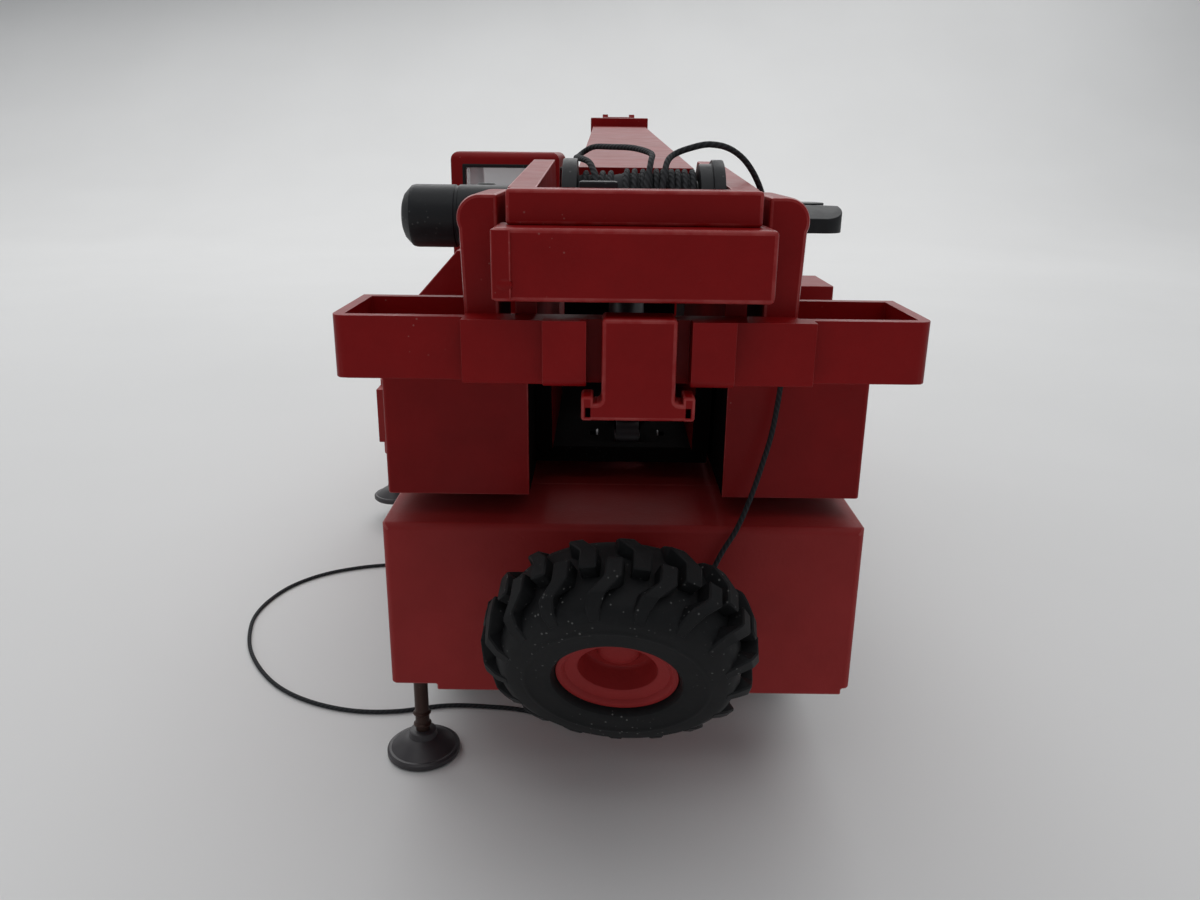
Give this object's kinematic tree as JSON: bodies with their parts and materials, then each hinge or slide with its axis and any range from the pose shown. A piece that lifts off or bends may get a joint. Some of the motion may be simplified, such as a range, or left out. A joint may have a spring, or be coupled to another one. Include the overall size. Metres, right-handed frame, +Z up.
{
  "type": "telescopic mobile crane model",
  "caption": "Scale model of a wheeled mobile crane with a slewing upper part, telescoping boom, winch with loose rope, sliding outriggers and a spare wheel on the back.",
  "frame": {"origin": "where the slewing axis meets the surface the model stands on", "axes": "+Z up along the slewing axis, +Y towards the front of the carrier, +X to its right seen from behind"},
  "size_m": [0.0911, 0.1968, 0.0847],
  "materials": {
    "red_paint": "satin",
    "matte_red": "matte",
    "tyre": "matte",
    "grey_plastic": "satin",
    "black_plastic": "satin",
    "jack_steel": "satin",
    "pin_steel": "satin",
    "clear_plastic": "gloss",
    "rope": "matte"
  },
  "bodies": {
    "carrier": {"chassis_frame": "matte_red", "carrier_deck": "matte_red", "rear_outrigger_box": "matte_red", "front_outrigger_box": "matte_red", "rear_axle": "grey_plastic", "front_axle": "grey_plastic", "driver_cab": "red_paint", "driver_cab_glazing": "clear_plastic", "front_bumper": "red_paint", "spare_wheel_bracket": "matte_red", "rope_tail": "rope", "rope_knot": "rope"},
    "superstructure": {"turntable_ring": "black_plastic", "turntable_frame": "black_plastic", "frame_plates": "red_paint", "left_housing": "red_paint", "right_housing": "red_paint", "cheek_plates": "red_paint", "counterweight": "red_paint", "rear_cover": "red_paint", "counterweight_tray": "red_paint", "coupling_bracket": "red_paint", "crane_cab": "red_paint", "crane_cab_glazing": "clear_plastic", "silencer": "black_plastic", "air_cleaner": "black_plastic", "winch_motor": "grey_plastic", "pivot_pins": "pin_steel", "slack_loop": "rope"},
    "boom": {"boom_base": "red_paint"},
    "boom_second": {"boom_mid": "red_paint"},
    "boom_third": {"boom_tip": "red_paint"},
    "sheaves": {"head_sheaves": "grey_plastic"},
    "drum": {"winch_drum": "grey_plastic", "wound_rope": "rope"},
    "luff_barrel": {"lift_barrel": "red_paint"},
    "luff_rod": {"lift_rod": "pin_steel"},
    "left_steer": {"left_knuckle": "grey_plastic"},
    "right_steer": {"right_knuckle": "grey_plastic"},
    "spare_wheel": {"spare_tyre": "tyre", "spare_rim": "matte_red"},
    "rear_left_beam": {"rear_left_beam": "matte_red"},
    "rear_left_leg": {"rear_left_jack": "jack_steel", "rear_left_foot": "black_plastic"},
    "rear_left_wheel": {"rear_left_tyre": "tyre", "rear_left_rim": "matte_red"},
    "rear_right_beam": {"rear_right_beam": "matte_red"},
    "rear_right_leg": {"rear_right_jack": "jack_steel"},
    "rear_right_wheel": {"rear_right_tyre": "tyre", "rear_right_rim": "matte_red"},
    "front_left_beam": {"front_left_beam": "matte_red"},
    "front_left_leg": {"front_left_jack": "jack_steel", "front_left_foot": "black_plastic"},
    "front_left_wheel": {"front_left_tyre": "tyre", "front_left_rim": "matte_red"},
    "front_right_beam": {"front_right_beam": "matte_red"},
    "front_right_leg": {"front_right_jack": "jack_steel", "front_right_foot": "black_plastic"},
    "front_right_wheel": {"front_right_tyre": "tyre", "front_right_rim": "matte_red"}
  },
  "joints": [
    {"name": "slewing", "type": "hinge", "parent": "carrier", "child": "superstructure", "pos_m": [0, 0, 0.0375], "axis": [0, 0, 1], "continuous": true, "deforming": ["rope_tail"]},
    {"name": "boom_luff", "type": "hinge", "parent": "superstructure", "child": "boom", "pos_m": [0.0008, -0.042, 0.0685], "axis": [1, 0, 0], "range_deg": [-3, 60]},
    {"name": "luff_barrel_pin", "type": "hinge", "parent": "superstructure", "child": "luff_barrel", "pos_m": [0.0008, -0.03785, 0.03899], "axis": [1, 0, 0], "range_deg": [-2, 30.5]},
    {"name": "luff_rod_pin", "type": "hinge", "parent": "boom", "child": "luff_rod", "pos_m": [0.0008, -0.01341, 0.06008], "axis": [1, 0, 0], "range_deg": [-30.5, 2]},
    {"name": "second_section_slide", "type": "slide", "parent": "boom", "child": "boom_second", "axis": [0, 0.9984, 0.0558], "range_m": [0, 0.095]},
    {"name": "third_section_slide", "type": "slide", "parent": "boom_second", "child": "boom_third", "axis": [0, 0.9984, 0.0558], "range_m": [0, 0.0951]},
    {"name": "sheaves_spin", "type": "hinge", "parent": "boom_third", "child": "sheaves", "pos_m": [0.0008, 0.10435, 0.07348], "axis": [1, 0, 0], "continuous": true},
    {"name": "drum_spin", "type": "hinge", "parent": "superstructure", "child": "drum", "pos_m": [0, -0.0645, 0.0699], "axis": [1, 0, 0], "continuous": true},
    {"name": "spare_wheel_spin", "type": "hinge", "parent": "carrier", "child": "spare_wheel", "pos_m": [-0.0005, -0.0722, 0.0269], "axis": [-0.077, -0.8796, -0.4695], "continuous": true},
    {"name": "left_steering", "type": "hinge", "parent": "carrier", "child": "left_steer", "pos_m": [-0.013, 0.057, 0.01425], "axis": [0, 0, 1], "range_deg": [-25, 25]},
    {"name": "right_steering", "type": "hinge", "parent": "carrier", "child": "right_steer", "pos_m": [0.013, 0.057, 0.01425], "axis": [0, 0, 1], "range_deg": [-25.1, 25.1]},
    {"name": "rear_left_beam_slide", "type": "slide", "parent": "carrier", "child": "rear_left_beam", "axis": [-1, 0, 0], "range_m": [0, 0.0235]},
    {"name": "rear_left_leg_slide", "type": "slide", "parent": "rear_left_beam", "child": "rear_left_leg", "axis": [0, 0, 1], "range_m": [0, 0.0102]},
    {"name": "rear_left_wheel_spin", "type": "hinge", "parent": "carrier", "child": "rear_left_wheel", "pos_m": [-0.0227, -0.027, 0.01425], "axis": [1, 0, 0], "continuous": true},
    {"name": "rear_right_beam_slide", "type": "slide", "parent": "carrier", "child": "rear_right_beam", "axis": [1, 0, 0], "range_m": [0, 0.0235]},
    {"name": "rear_right_leg_slide", "type": "slide", "parent": "rear_right_beam", "child": "rear_right_leg", "axis": [0, 0, 1], "range_m": [-0.0102, 0]},
    {"name": "rear_right_wheel_spin", "type": "hinge", "parent": "carrier", "child": "rear_right_wheel", "pos_m": [0.0227, -0.027, 0.01425], "axis": [1, 0, 0], "continuous": true},
    {"name": "front_left_beam_slide", "type": "slide", "parent": "carrier", "child": "front_left_beam", "axis": [-1, 0, 0], "range_m": [-0.0206, 0]},
    {"name": "front_left_leg_slide", "type": "slide", "parent": "front_left_beam", "child": "front_left_leg", "axis": [0, 0, 1], "range_m": [-0.0046, 0.0056]},
    {"name": "front_left_wheel_spin", "type": "hinge", "parent": "left_steer", "child": "front_left_wheel", "pos_m": [-0.0227, 0.057, 0.01425], "axis": [1, 0, 0], "continuous": true},
    {"name": "front_right_beam_slide", "type": "slide", "parent": "carrier", "child": "front_right_beam", "axis": [1, 0, 0], "range_m": [0, 0.0235]},
    {"name": "front_right_leg_slide", "type": "slide", "parent": "front_right_beam", "child": "front_right_leg", "axis": [0, 0, 1], "range_m": [-0.0102, 0]},
    {"name": "front_right_wheel_spin", "type": "hinge", "parent": "right_steer", "child": "front_right_wheel", "pos_m": [0.0227, 0.057, 0.01425], "axis": [1, 0, 0], "continuous": true}
  ],
  "couplings": [
    {"joint": "luff_barrel_pin", "follows": "boom_luff", "ratio": 0.5},
    {"joint": "luff_rod_pin", "follows": "boom_luff", "ratio": -0.5},
    {"joint": "third_section_slide", "follows": "second_section_slide", "ratio": 1},
    {"joint": "right_steering", "follows": "left_steering", "ratio": 1}
  ]
}
